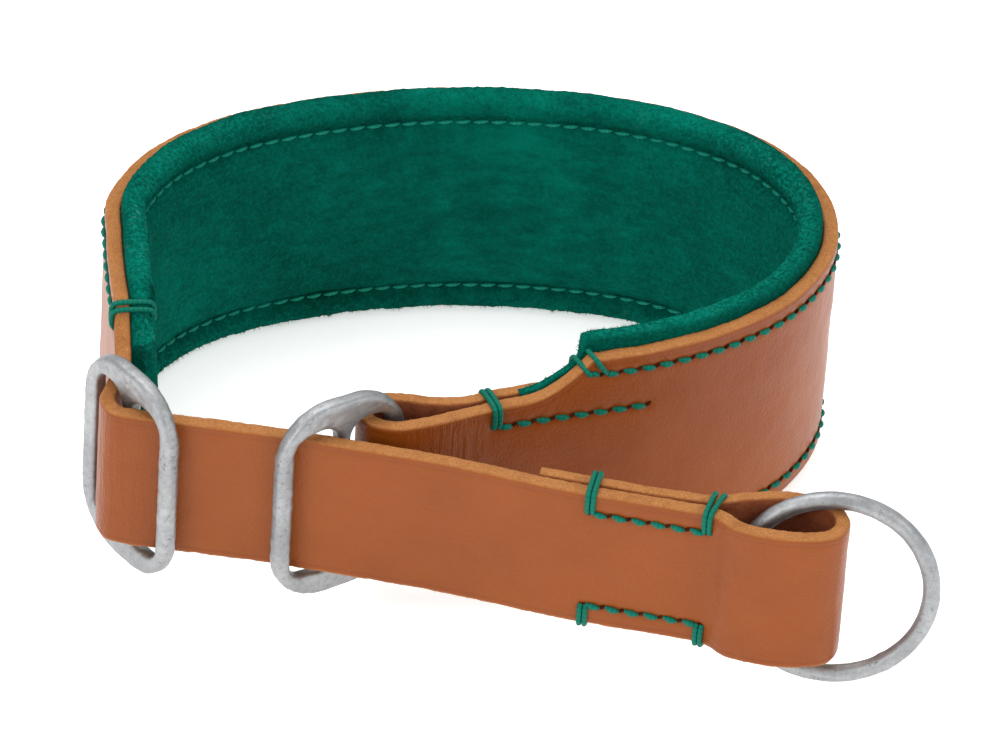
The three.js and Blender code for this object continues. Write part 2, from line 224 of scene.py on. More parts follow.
def outward(ob):
    """Turns the faces out if the closed mesh's volume is negative."""
    bm = bmesh.new()
    bm.from_mesh(ob.data)
    if bm.calc_volume(signed=True) < 0:
        bmesh.ops.reverse_faces(bm, faces=bm.faces)
        bm.to_mesh(ob.data)
    bm.free()
    return ob


TIP_SHARE, TIP_POWER = 0.03, 0.6  # of a tube's radius at its very end, and how it grows from there


class Tubes:
    """Gathers many short tubes of thread into one mesh."""

    def __init__(self):
        self.verts, self.faces, self.along = [], [], []
        self.n = 0

    def add(self, points, radius, sides=8, squash=(1, 1), across=None, taper_ends=True,
            taper_power=2.4):
        """A tube along the points, its section squashed by two factors."""
        p = np.asarray(points, float)
        count = len(p)
        t = np.gradient(p, axis=0)
        t /= np.linalg.norm(t, axis=1)[:, None]
        ref = np.array([0, 0, 1.0]) if across is None else np.asarray(across, float)
        arc = np.concatenate([[0], np.cumsum(np.linalg.norm(np.diff(p, axis=0), axis=1))])
        base = self.n
        for q in range(count):
            a = np.cross(t[q], ref if ref.ndim == 1 else ref[q])
            a /= max(np.linalg.norm(a), 1e-9)
            b = np.cross(a, t[q])
            r = radius
            if taper_ends:
                x = 2 * arc[q] / arc[-1] - 1
                r = radius * max(1 - abs(x) ** taper_power, TIP_SHARE) ** TIP_POWER
            for w in range(sides):
                ang = math.tau * w / sides
                aside = a * (math.cos(ang) * r * squash[0])
                above = b * (math.sin(ang) * r * squash[1])
                self.verts.append(p[q] + aside + above)
                self.along.append(arc[q])
        for q in range(count - 1):
            for w in range(sides):
                v = (w + 1) % sides
                self.faces.append((base + q * sides + w, base + q * sides + v,
                                   base + (q + 1) * sides + v, base + (q + 1) * sides + w))
        self.faces.append(tuple(base + w for w in range(sides - 1, -1, -1)))
        self.faces.append(tuple(base + (count - 1) * sides + w for w in range(sides)))
        self.n += count * sides

    def build(self, name, mat):
        return outward(mesh_object(name, np.array(self.verts), self.faces, mat, {"along": self.along}))


# ---- materials ----------------------------------------------------------------------------------
def material(name):
    m = bpy.data.materials.new(name)
    m.use_nodes = True
    t = m.node_tree
    return m, t, t.nodes["Principled BSDF"]


def node(t, kind, **values):
    n = t.nodes.new(kind)
    for key, v in values.items():
        if hasattr(n, key):
            setattr(n, key, v)
        else:
            n.inputs[key.replace("_", " ")].default_value = v
    return n


def coords(t, scale=(1, 1, 1)):
    c = node(t, "ShaderNodeTexCoord")
    m = node(t, "ShaderNodeMapping")
    m.inputs["Scale"].default_value = scale
    t.links.new(c.outputs["Object"], m.inputs["Vector"])
    return m.outputs["Vector"]


def noise(t, vector, scale, detail=3.0, rough=0.55):
    n = node(t, "ShaderNodeTexNoise")
    n.inputs["Scale"].default_value = scale
    n.inputs["Detail"].default_value = detail
    n.inputs["Roughness"].default_value = rough
    t.links.new(vector, n.inputs["Vector"])
    return n.outputs["Fac"]


def ramp(t, fac, stops):
    r = node(t, "ShaderNodeValToRGB")
    e = r.color_ramp.elements
    while len(e) < len(stops):
        e.new(0.5)
    for el, (pos, col) in zip(e, stops):
        el.position = pos
        el.color = (*col, 1)
    t.links.new(fac, r.inputs["Fac"])
    return r.outputs["Color"]


def set_or_link(t, value, socket):
    """Gives a socket a number, a colour or another node's output."""
    if isinstance(value, (int, float)):
        socket.default_value = value
    elif isinstance(value, tuple):
        socket.default_value = (*value, 1)
    else:
        t.links.new(value, socket)


def mix(t, fac, a, b):
    """Mixes two colours; the node has one set of sockets for each kind of data."""
    n = node(t, "ShaderNodeMix", data_type="RGBA")
    for value, socket in ((fac, n.inputs[0]), (a, n.inputs[6]), (b, n.inputs[7])):
        set_or_link(t, value, socket)
    return n.outputs[2]


def maths(t, op, a, b=0.0, clamp=False):
    n = node(t, "ShaderNodeMath", operation=op, use_clamp=clamp)
    for value, socket in ((a, n.inputs[0]), (b, n.inputs[1])):
        set_or_link(t, value, socket)
    return n.outputs[0]


def times(t, a, b):
    return maths(t, "MULTIPLY", a, b)


def plus(t, a, b, clamp=False):
    return maths(t, "ADD", a, b, clamp)


def mask(t, fac, black, white):
    """Black at one value of fac and white at the other."""
    return ramp(t, fac, sorted([(black, (0, 0, 0)), (white, (1, 1, 1))]))


def bump(t, height, strength, distance, normal=None):
    b = node(t, "ShaderNodeBump")
    b.inputs["Strength"].default_value = strength
    b.inputs["Distance"].default_value = distance
    t.links.new(height, b.inputs["Height"])
    if normal is not None:
        t.links.new(normal, b.inputs["Normal"])
    return b.outputs["Normal"]


def attribute(t, name):
    a = node(t, "ShaderNodeAttribute", attribute_name=name)
    return a.outputs["Fac"]


def leather_material():
    """Grain, cut edge and flesh side in one material, told apart by the sheet's 'side' attribute:
    0 grain, 1 cut edge, 2 flesh."""
    m, t, bsdf = material("cognac_leather_grain")
    v = coords(t)
    side = attribute(t, "side")
    off_edge = maths(t, "ABSOLUTE", maths(t, "SUBTRACT", side, 1.0))
    cut = maths(t, "SUBTRACT", 1.0, off_edge, clamp=True)
    flesh = maths(t, "SUBTRACT", side, 1.0, clamp=True)

    tone = noise(t, v, 38, 4, 0.6)
    grain = ramp(t, tone, [(0.25, (0.220, 0.046, 0.003)), (0.55, (0.266, 0.060, 0.004)),
                           (0.8, (0.300, 0.072, 0.007))])
    pores = noise(t, v, 1500, 2, 0.6)
    grain = mix(t, times(t, pores, 0.22), grain, (0.19, 0.042, 0.006))
    fibre = noise(t, v, 2900, 4, 0.75)
    edge = ramp(t, fibre, [(0.28, (0.30, 0.105, 0.022)), (0.5, (0.42, 0.168, 0.046)),
                           (0.75, (0.53, 0.25, 0.090))])
    handled = mask(t, noise(t, v, 210, 4, 0.7), 0.5, 0.7)
    edge = mix(t, times(t, handled, 0.5), edge, (0.26, 0.075, 0.014))
    back = ramp(t, noise(t, v, 420, 5, 0.7), [(0.3, (0.16, 0.036, 0.012)), (0.7, (0.30, 0.085, 0.030))])
    colour = mix(t, cut, grain, edge)
    colour = mix(t, flesh, colour, back)
    # painted shade from the 'shade' attribute, in the creased line and the seams' dents
    colour = mix(t, attribute(t, "shade"), colour, (0.10, 0.022, 0.008))
    t.links.new(colour, bsdf.inputs["Base Color"])

    polish = plus(t, times(t, noise(t, v, 95, 3), 0.16), 0.30)
    unfinished = plus(t, cut, flesh, clamp=True)
    rough = plus(t, polish, times(t, unfinished, 0.42), clamp=True)
    t.links.new(rough, bsdf.inputs["Roughness"])

    cells = node(t, "ShaderNodeTexVoronoi", feature="DISTANCE_TO_EDGE")
    cells.inputs["Scale"].default_value = 1050
    t.links.new(v, cells.inputs["Vector"])
    creases = maths(t, "MINIMUM", cells.outputs["Distance"], 0.22)
    normal = bump(t, creases, 0.45, 0.0003)
    normal = bump(t, noise(t, v, 300, 4, 0.6), 0.20, 0.0006, normal)
    upright_folds = noise(t, coords(t, (1, 1, 0.12)), 900, 3, 0.6)
    normal = bump(t, times(t, upright_folds, attribute(t, "crumple")), 0.7, 0.0006, normal)
    fibrous = plus(t, cut, times(t, flesh, 0.8), clamp=True)
    normal = bump(t, times(t, fibre, fibrous), 0.45, 0.0004, normal)
    t.links.new(normal, bsdf.inputs["Normal"])
    bsdf.inputs["Specular IOR Level"].default_value = 0.24
    bsdf.inputs["Coat Weight"].default_value = 0.04
    bsdf.inputs["Coat Roughness"].default_value = 0.34
    return m


def suede_material():
    """Green suede; 'worn' makes the nap paler and scuffed, 'shade' darkens it."""
    m, t, bsdf = material("green_suede_nap")
    v = coords(t)
    cloud = noise(t, coords(t, (1, 1, 0.6)), 34, 4, 0.6)
    strokes = noise(t, coords(t, (1, 1, 2.4)), 230, 3, 0.65)
    tone = plus(t, times(t, cloud, 0.66), times(t, strokes, 0.34))
    colour = ramp(t, tone, [(0.36, (0.0002, 0.052, 0.034)), (0.5, (0.0003, 0.096, 0.066)),
                            (0.66, (0.0004, 0.185, 0.125))])
    tufts = noise(t, v, 1700, 3, 0.8)
    speck = mask(t, tufts, 0.46, 0.66)
    gaps = mask(t, tufts, 0.48, 0.34)
    worn = attribute(t, "worn")
    colour = mix(t, times(t, worn, 0.45), colour, (0.0010, 0.220, 0.150))
    sunk = times(t, gaps, plus(t, times(t, worn, 0.5), 0.12))
    colour = mix(t, sunk, colour, (0.0002, 0.045, 0.030))
    lift = times(t, speck, plus(t, times(t, worn, 0.7), 0.18))
    colour = mix(t, lift, colour, (0.006, 0.330, 0.240))
    chalk = mask(t, noise(t, v, 900, 4, 0.8), 0.56, 0.68)
    patches = mask(t, noise(t, v, 120, 3, 0.6), 0.48, 0.62)
    scuff = times(t, times(t, chalk, patches), times(t, worn, 0.55))
    colour = mix(t, scuff, colour, (0.13, 0.42, 0.33))
    colour = mix(t, attribute(t, "shade"), colour, (0.0003, 0.022, 0.013))
    t.links.new(colour, bsdf.inputs["Base Color"])
    bsdf.inputs["Roughness"].default_value = 0.95
    bsdf.inputs["Sheen Weight"].default_value = 0.05
    bsdf.inputs["Sheen Roughness"].default_value = 0.4
    bsdf.inputs["Sheen Tint"].default_value = (0.0, 0.75, 0.55, 1)
    bsdf.inputs["Specular IOR Level"].default_value = 0.02
    normal = bump(t, noise(t, v, 2100, 4, 0.85), 0.9, 0.0006)
    normal = bump(t, noise(t, v, 420, 4, 0.7), 0.4, 0.0009, normal)
    t.links.new(normal, bsdf.inputs["Normal"])
    return m


PLY_LENGTH = 0.75  # of one turn of the thread's twist, along the thread


def thread_material(name, dark, light):
    m, t, bsdf = material(name)
    ply = maths(t, "SINE", times(t, attribute(t, "along"), math.tau / PLY_LENGTH))
    half = plus(t, times(t, ply, 0.5), 0.5)
    fuzz = noise(t, coords(t), 2400, 3, 0.7)
    # Painted shade of the twist: the colour darkens in each ply's groove, and the fuzz varies it at random.
    colour = mix(t, plus(t, times(t, half, 0.25), times(t, fuzz, 0.6)), dark, light)
    t.links.new(colour, bsdf.inputs["Base Color"])
    bsdf.inputs["Roughness"].default_value = 0.5
    bsdf.inputs["Specular IOR Level"].default_value = 0.14
    normal = bump(t, half, 0.25, 0.0002)
    t.links.new(bump(t, fuzz, 0.3, 0.0002, normal), bsdf.inputs["Normal"])
    return m


def hole_material():
    # A dark slit for each awl hole: painted shade inside the hole, its tone varied at random.
    m, t, bsdf = material("awl_slit_painted_shade")
    depth = noise(t, coords(t), 1200, 2)
    colour = ramp(t, depth, [(0.3, (0.030, 0.006, 0.002)), (0.7, (0.085, 0.018, 0.004))])
    t.links.new(colour, bsdf.inputs["Base Color"])
    bsdf.inputs["Roughness"].default_value = 0.9
    bsdf.inputs["Specular IOR Level"].default_value = 0.05
    return m


def metal_material():
    m, t, bsdf = material("tumbled_antique_silver")
    v = coords(t)
    pits = noise(t, v, 1300, 4, 0.75)
    patches = mask(t, noise(t, v, 190, 3, 0.6), 0.42, 0.62)
    sunk = mask(t, pits, 0.43, 0.36)
    pit_depth = times(t, sunk, plus(t, times(t, patches, 0.7), 0.12))
    pitted = maths(t, "SUBTRACT", 1.0, pit_depth)
    stain = noise(t, v, 130, 4, 0.65)
    colour = ramp(t, stain, [(0.3, (0.31, 0.32, 0.33)), (0.55, (0.41, 0.42, 0.43)),
                             (0.8, (0.50, 0.51, 0.52))])
    patina = mask(t, noise(t, v, 800, 5, 0.8), 0.60, 0.38)
    colour = mix(t, times(t, patina, 0.45), colour, (0.22, 0.225, 0.23))
    colour = mix(t, maths(t, "SUBTRACT", 1.0, pitted), colour, (0.18, 0.18, 0.18))
    t.links.new(colour, bsdf.inputs["Base Color"])
    bsdf.inputs["Metallic"].default_value = 1.0
    rough = plus(t, times(t, noise(t, v, 520, 4, 0.7), 0.26), 0.38)
    t.links.new(rough, bsdf.inputs["Roughness"])
    normal = bump(t, pitted, 0.3, 0.0002)
    t.links.new(bump(t, noise(t, v, 260, 3, 0.6), 0.16, 0.0005, normal), bsdf.inputs["Normal"])
    return m


LEATHER_MAT = leather_material()
SUEDE_MAT = suede_material()
THREAD_MAT = thread_material("waxed_thread_green", (0.0002, 0.085, 0.056), (0.0006, 0.215, 0.142))
INNER_THREAD_MAT = thread_material("waxed_thread_on_suede", (0.0015, 0.150, 0.100),
                                   (0.0090, 0.330, 0.235))
HOLE_MAT = hole_material()
METAL_MAT = metal_material()

# ---- seams --------------------------------------------------------------------------------------
PITCH = 3.1  # of the band's stitches
NARROW_PITCH = PITCH * 1.08  # of the stitches on the tongue and at the lead ring's fold
OUTER_INSET, INNER_INSET, TONGUE_INSET = 2.9, 3.2, 3.6  # of the stitches from the leather's edge
PULL_DEPTH, PULL_REACH = 0.34, 0.75  # of the dent that the thread makes in the grain
S_LEFT_WRAP = S_LEFT_SHOULDER - 1.5
S_RIGHT_WRAP = S_RIGHT_SHOULDER - 1.7
S_TONGUE = (plan.at(6.5, -40.5), plan.at(30, -31.2))
S_STRAP_SEAM = (plan.at(40, -62.7), plan.at(21.8, -59.7))


def band_stitches():
    """The stations of the band seams' holes."""
    count = round((S_RIGHT_WRAP - S_LEFT_WRAP) / PITCH)
    return np.linspace(S_LEFT_WRAP, S_RIGHT_WRAP, count + 1)


def seam_rows():
    """Every seam on the grain side: station of each hole, and its height there."""
    rows = []
    s = band_stitches()
    rows.append((s, high(s) - OUTER_INSET))
    rows.append((s, low(s) + OUTER_INSET))
    for a, b in (sorted(S_TONGUE), sorted(S_STRAP_SEAM)):
        count = round((b - a) / NARROW_PITCH)
        t = np.linspace(a, b, count + 1)
        if a == min(S_TONGUE):
            rows.append((t, np.full_like(t, STRAP_HIGH - TONGUE_INSET)))
            rows.append((t, np.full_like(t, STRAP_LOW + TONGUE_INSET)))
        else:
            rows.append((t, high(t) - TONGUE_INSET))
            rows.append((t, low(t) + TONGUE_INSET))
    return rows


SEAMS = seam_rows()


def seam_pull(s, z):
    """How deep the thread pulls the grain in, at stations s and heights z."""
    depth = np.zeros_like(s)
    for holes, heights in SEAMS:
        height = np.interp(s, holes, heights)
        inside = smooth(s, holes[0] - 1.5, holes[0]) * (1 - smooth(s, holes[-1], holes[-1] + 1.5))
        phase = (s - holes[0]) / (holes[-1] - holes[0]) * (len(holes) - 1)
        beat = 0.62 + 0.38 * np.cos(math.tau * phase)
        depth += inside * beat * PULL_DEPTH * np.exp(-((z - height) / PULL_REACH) ** 2)
    return depth


# ---- leather ------------------------------------------------------------------------------------
# Rows round a section: distances in from the edge on the grain side, shares of the thickness over the
# cut edge, and distances in from the edge and shares of the width on the flesh side.
EDGE_ROWS = [0.45, 0.8, 1.05, 1.25, 1.45, 1.7, 2.1, 2.5, 2.8, 3.1, 3.4, 3.7, 4.1, 4.6, 5.2, 5.9]
MIDDLE_ROWS = 30
CUT_ROWS = [0.06, 0.2, 0.35, 0.5, 0.65, 0.8, 0.94]
FLESH_EDGE_ROWS = [0.5, 1.4, 3, 5, 7]
FLESH_MIDDLE_ROWS = [0.62, 0.5, 0.38]
CREASE_INSET = 1.15  # of the line creased along the grain side's edge
CORNER = 0.12  # how far a cut edge's rows stay off the two faces
LEATHER_STEP = 0.72  # between sections along the strip
LEATHER_ENDS = {"side": 1.0, "crumple": 0.0, "shade": 0.0}


def leather_grid(s):
    """Closed sections of the leather at stations s, with the attributes its material reads."""
    s = np.asarray(s, float)
    lo, hi = low(s), high(s)
    width = hi - lo
    inset = EDGE_ROWS[-1]
    rows = [lo + e for e in EDGE_ROWS]
    rows += [lo + inset + (width - 2 * inset) * k / (MIDDLE_ROWS + 1) for k in range(1, MIDDLE_ROWS + 1)]
    rows += [hi - e for e in EDGE_ROWS[::-1]]
    z = np.stack(rows, 1)
    S = np.repeat(s[:, None], z.shape[1], 1)
    T = thickness(s)
    from_edge = np.minimum(z - lo[:, None], hi[:, None] - z)
    pull = seam_pull(S, z)
    face = 0.05 * np.exp(-((from_edge - CREASE_INSET) / 0.30) ** 2)
    face += 0.30 * np.exp(-(from_edge / 0.32) ** 2)
    face += pull + 0.045 * waves(3, S, z, 9) + 0.02 * waves(5, S, z, 3)

    def wobble(seed):
        return 0.05 * waves(seed, s, 0 * s, 5) + 0.035 * waves(seed + 1, s, 0 * s, 1.6)

    def cut(fractions, edge, sign, uneven):
        """The rows over a cut edge, a little rounded: their depths and heights."""
        depths = np.stack([CORNER + (T - 2 * CORNER) * f for f in fractions], 1)
        bulge = np.array([math.sin(math.pi * (0.12 + 0.76 * f)) for f in fractions])
        rough = 0.03 * waves(21, S[:, :1] * 2, depths * 3, 1.3)
        out = sign * (0.16 * bulge[None, :] - 0.12 + rough)
        return depths, edge[:, None] + out + uneven[:, None]

    o_hi, z_hi = cut(CUT_ROWS, hi, 1, wobble(11))
    o_lo, z_lo = cut(CUT_ROWS[::-1], lo, -1, wobble(13))
    flesh_rows = [hi - e for e in FLESH_EDGE_ROWS] + [lo + width * k for k in FLESH_MIDDLE_ROWS]
    flesh_rows += [lo + e for e in FLESH_EDGE_ROWS[::-1]]
    z_flesh = np.stack(flesh_rows, 1)
    o_flesh = T[:, None] - 0.02 * waves(31, np.repeat(s[:, None], z_flesh.shape[1], 1), z_flesh, 4)
    offset = np.concatenate([face, o_hi, o_flesh, o_lo], 1)
    height = np.concatenate([z, z_hi, z_flesh, z_lo], 1)

    side = np.concatenate([0 * z, 1 + 0 * z_hi, 2 + 0 * z_flesh, 1 + 0 * z_lo], 1)
    SS = np.repeat(s[:, None], height.shape[1], 1)
    crumple = (np.exp(-((SS - S_RIGHT_LOOP) / 7) ** 2)
               + 0.7 * np.exp(-((SS - S_LOOP_START + 10) / 9) ** 2)
               + 0.8 * np.exp(-((SS - (S_BEND_END + S_LEFT_END) / 2) / 7) ** 2))
    # Painted shade: darker in the creased line along the edge and in the dents that the thread pulls in.
    painted_dent_shade = 0.16 * np.exp(-((from_edge - CREASE_INSET) / 0.25) ** 2)
    painted_dent_shade = painted_dent_shade + 0.5 * np.clip(pull / PULL_DEPTH, 0, 1) ** 2
    shade = np.concatenate([painted_dent_shade, 0 * z_hi, 0 * z_flesh, 0 * z_lo], 1)
    return plan.place(SS, offset, height), {"side": side, "crumple": np.clip(crumple, 0, 1), "shade": shade}


def stations(a, b, step):
    return np.linspace(a, b, max(2, int(round(abs(b - a) / step)) + 1))


def leather_piece(name, a, b):
    sections, attributes = leather_grid(stations(a, b, LEATHER_STEP))
    ob = loft(name, sections, LEATHER_MAT, attributes, LEATHER_ENDS)
    return outward(ob)


def flexes(ob):
    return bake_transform(ob)


strap = leather_piece("control_strap_leather", 0.0, S_LEFT_END)
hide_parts("stop_ring_bend", "control_strap", "lead_ring_fold", "strap_sewn_end")
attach(strap, "band_left")

band = leather_piece("band_outer_leather", S_LEFT_END, plan.length)
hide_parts("band_leather_left", "band_leather_right", "slide_ring_fold", "tongue_tucked_end")
flexes(band)


# ---- suede lining -------------------------------------------------------------------------------
S_LINING_LEFT = plan.at(-54.2, -32)
S_LINING_RIGHT = plan.at(11, -38.5)
LINING_STEP = 0.7  # between sections along the band
LINING_GAP = 0.05  # between the lining's face and the leather
LINING_WIDTH = 42.0  # as worn, over both rims
LINING_MIDDLE_ROWS = 22
LINING_ENDS = {"shade": 0.15, "worn": 0.3}
RIM_PROUD = 1.6  # how far the rolled rim stands over the leather's edge
TUCKED_ROWS = 3  # rows of RIM that turn in behind the leather
GROOVE = 4.8  # how far the seam's groove lies below the rim
# From the leather's back face over the rolled rim to the padded field: down from the rim, off the leather.
RIM = [
    (1.6, 0.0), (0.6, 0.02), (0.2, 0.2), (0.05, 0.75), (0.0, 1.6), (0.15, 2.5), (0.55, 3.2),
    (1.1, 3.65), (1.7, 3.88), (2.3, 3.92), (2.9, 3.82), (3.5, 3.6), (3.95, 3.35), (4.3, 3.1),
    (4.6, 2.95), (4.85, 2.9), (5.15, 2.95), (5.5, 3.15), (5.9, 3.4), (6.4, 3.65), (7.1, 3.9),
    (8.0, 4.1), (9.1, 4.25), (10.4, 4.4), (11.9, 4.5), (13.4, 4.55)]


def lining_grid(s):
    """Closed sections of the padded lining at stations s, with the attributes its material reads."""
    s = np.asarray(s, float)
    full = (smooth(s, S_LINING_LEFT - 0.8, S_LINING_LEFT + 1.2)
            * (1 - smooth(s, S_RIGHT_SHOULDER + 0.4, S_RIGHT_SHOULDER + 1.1)))
    proud = RIM_PROUD * full * smooth(s, S_LEFT_WRAP + 0.7, S_LEFT_WRAP + 2.4)
    lo, hi = low(s) - proud, high(s) + 1.25 * proud + 0.15 * (1 - full)
    padded = full[:, None]
    down, off_full = np.array(RIM).T
    off_flat = np.clip(off_full, 0, 1.15) + 0.02 * down
    squeeze = np.clip((hi - lo) / LINING_WIDTH, 0.45, 1)[:, None]
    scale = squeeze * (padded + (1 - padded) * 0.8)
    rise = padded * off_full + (1 - padded) * off_flat
    lip = np.where(np.arange(len(RIM)) < TUCKED_ROWS, padded, 1.0)  # without padding nothing tucks in
    drop = down * scale * lip
    inner = drop[:, -1:]
    k = np.arange(1, LINING_MIDDLE_ROWS + 1) / (LINING_MIDDLE_ROWS + 1)
    field = (hi[:, None] - inner) * (1 - k) + (lo[:, None] + inner) * k
    z = np.concatenate([hi[:, None] - drop, field, (lo[:, None] + drop)[:, ::-1]], 1)
    field_off = np.repeat(rise[:, -1:], LINING_MIDDLE_ROWS, 1) + 0.06
    off = np.concatenate([rise, field_off, rise[:, ::-1]], 1)

    S = np.repeat(s[:, None], z.shape[1], 1)
    from_rim = np.minimum(z - lo[:, None], hi[:, None] - z)
    phase = (S - S_LEFT_WRAP) / (S_RIGHT_WRAP - S_LEFT_WRAP) * (len(band_stitches()) - 1)
    tuft = 0.5 - 0.5 * np.cos(math.tau * phase)
    seam = np.exp(-((from_rim - GROOVE * scale) / 0.9) ** 2) * padded
    off = off - 0.22 * (1 - tuft) * seam
    skin = smooth(off, 0.3, 1.2)
    off = off + skin * (0.12 * waves(41, S, z, 17) + 0.06 * waves(43, S, z, 5)
                        + 0.05 * waves(47, S, z, 1.7) + 0.03 * waves(49, S, z, 0.8, 9))
    rim = (1 - smooth(from_rim, 0.8, 3.5)) * padded
    ragged = (0.10 * waves(53, S, 0 * S, 7) + 0.07 * waves(55, S, off, 1.5)
              + 0.04 * waves(57, S, off, 0.8))
    z = z + rim * np.sign(z - BAND_WIDTH / 2) * ragged
    z_back = np.stack([lo + 2.2, (lo + hi) / 2, hi - 2.2], 1)
    offset = np.concatenate([LEATHER + LINING_GAP + off, np.full_like(z_back, LEATHER + 0.03)], 1)
    height = np.maximum(np.concatenate([z, z_back], 1), FLOOR_CLEAR - SHIFT[2])

    SS = np.repeat(s[:, None], height.shape[1], 1)
    # Painted shade: darker in the seam's groove between the tufts, where the lining meets the leather, and
    # in the crushed fold by the left wrap.
    crushed_fold_shade = np.exp(-((S - S_LEFT_WRAP - 2.2) / 1.3) ** 2 - ((from_rim - 1.6) / 1.6) ** 2)
    crushed_fold_shade = crushed_fold_shade * smooth(off, 1.6, 3.2)
    dark = 0.30 * seam * (1 - 0.6 * tuft) + 0.35 * (1 - smooth(off, 0.0, 0.7)) + crushed_fold_shade
    shade = np.concatenate([np.clip(dark, 0, 1), np.zeros_like(z_back)], 1)
    # The 'worn' attribute makes the nap paler on the rim's crest and towards the sides, away from the back.
    flank = 1 - np.exp(-((S - S_BACK) / 62) ** 2)
    crest = padded * smooth(off, 0.5, 2.2) * (1 - smooth(from_rim, 1.8, 4.2)) * (0.05 + 0.95 * flank)
    worn = np.concatenate([np.clip(np.maximum(crest, 0.42 * flank), 0, 1), 0 * z_back], 1)
    return plan.place(SS, offset, height), {"shade": shade, "worn": worn}


# Raised fibres: each is a spike with a three-sided root. Ranges are its length and its thickness.
SPIKE_FACES = ((0, 2, 1), (0, 1, 3), (1, 2, 3), (2, 0, 3))
SPIKE_ANGLES = (0.5, 2.6, 4.7)
ROOT_DEPTH = 0.12
CUT_FIBRE = ((0.15, 0.5), (0.035, 0.06))
NAP_FIBRE = ((0.3, 0.85), (0.05, 0.085))


def raised_fibres(grid, rows, count, seed, length_range, width_range):
    """Short fibres raised on the given rows of a lofted surface, as one mesh of thin spikes."""
    r = np.random.default_rng(seed)
    i = r.integers(1, len(grid) - 2, count)
    j = rows[r.integers(0, len(rows), count)]
    u, w = r.random((2, count, 1))
    on_row = grid[i, j] * (1 - u) + grid[i + 1, j] * u
    on_next = grid[i, j + 1] * (1 - u) + grid[i + 1, j + 1] * u
    p = on_row * (1 - w) + on_next * w
    out = np.cross(grid[i + 1, j] - grid[i, j], grid[i, j + 1] - grid[i, j])
    out /= np.linalg.norm(out, axis=1)[:, None] + 1e-9
    if ((p - grid.mean(axis=1)[i]) * out).sum() < 0:
        out = -out
    way = out + 0.75 * r.normal(size=(count, 3))
    way /= np.linalg.norm(way, axis=1)[:, None]
    across = np.cross(way, out)
    across /= np.linalg.norm(across, axis=1)[:, None] + 1e-9
    up = np.cross(across, way)
    length = r.uniform(*length_range, (count, 1))
    wide = r.uniform(*width_range, (count, 1))
    root = p - out * ROOT_DEPTH
    corners = [root + wide * (math.cos(a) * across + math.sin(a) * up) for a in SPIKE_ANGLES]
    verts = np.stack(corners + [p + way * length], 1).reshape(-1, 3)
    verts[:, 2] = np.maximum(verts[:, 2], FLOOR_CLEAR)
    faces = [tuple(4 * q + corner for corner in face) for q in range(count) for face in SPIKE_FACES]
    return verts, faces


def edge_fuzz(name, a, b, count, seed):
    """The frayed fibres along a leather strip's two cut edges."""
    sections, attributes = leather_grid(stations(a, b, LEATHER_STEP))
    cut_rows = np.flatnonzero(attributes["side"][0] == 1)
    cut_rows = cut_rows[cut_rows < sections.shape[1] - 1]
    verts, faces = raised_fibres(sections, cut_rows, count, seed, *CUT_FIBRE)
    values = {key: np.full(len(verts), v) for key, v in LEATHER_ENDS.items()}
    ob = mesh_object(name, verts, faces, LEATHER_MAT, values)
    return ob


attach(edge_fuzz("control_strap_edge_fuzz", 0.0, S_LEFT_END, 2600, 83), "band_left")
flexes(edge_fuzz("band_edge_fuzz", S_LEFT_END, plan.length, 3200, 89))

lining_sections, lining_values = lining_grid(stations(S_LINING_LEFT, S_LINING_RIGHT, LINING_STEP))
rim_rows = np.concatenate([np.arange(3, 13), lining_sections.shape[1] - 3 - np.arange(4, 14)])
nap_verts, nap_faces = raised_fibres(lining_sections, rim_rows, 11000, 71, *NAP_FIBRE)
nap = mesh_object("suede_nap_fibres", nap_verts, nap_faces, SUEDE_MAT,
                  {"worn": np.full(len(nap_verts), 0.9), "shade": np.zeros(len(nap_verts))})
flexes(nap)

lining = outward(loft("suede_lining_padded", lining_sections, SUEDE_MAT, lining_values, LINING_ENDS))
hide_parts("suede_lining_left", "suede_lining_right", "foam_padding_left", "foam_padding_right")
flexes(lining)

# ---- thread -------------------------------------------------------------------------------------
STITCH_R = 0.46
STITCH_SLANT = 0.26  # how far each end of a stitch lies off the line of holes
SLIT_R = 0.30
STRANDS = 2  # in each wrap over an edge


def outer_run(tubes, slits, holes, heights):
    """Slanted stitches on the grain side, hole to hole, and a dark slit at each hole as painted shade inside
    it.
    """
    for q in range(len(holes) - 1):
        t = np.linspace(0, 1, 9)
        s = holes[q] + (holes[q + 1] - holes[q]) * (0.08 + 0.84 * t)
        sink = 0.22 - 0.35 * np.sin(math.pi * t) ** 0.7
        level = heights[q] + (heights[q + 1] - heights[q]) * t
        z = level - (STITCH_SLANT - 2 * STITCH_SLANT * t)
        tubes.add(plan.place(s, sink, z), STITCH_R * 1.16, 10, (0.85, 1.08), taper_power=1.25)
    for hole, height in zip(holes, heights):
        t = np.linspace(-1, 1, 5)
        slits.add(plan.place(hole + 0.62 * t, 0.16, height - 0.34 * t), SLIT_R, 8, (1, 0.9))


def inner_run(tubes, holes, heights, depth_at):
    """The same stitches where they show on the lining."""
    for q in range(len(holes) - 1):
        t = np.linspace(0, 1, 8)
        s = holes[q] + (holes[q + 1] - holes[q]) * (0.06 + 0.88 * t)
        z = heights[q] + (heights[q + 1] - heights[q]) * t - 0.12 + 0.24 * t
        off = depth_at + 0.20 * np.sin(math.pi * t) ** 0.7
        tubes.add(plan.place(s, off, z), STITCH_R * 0.70, 8)


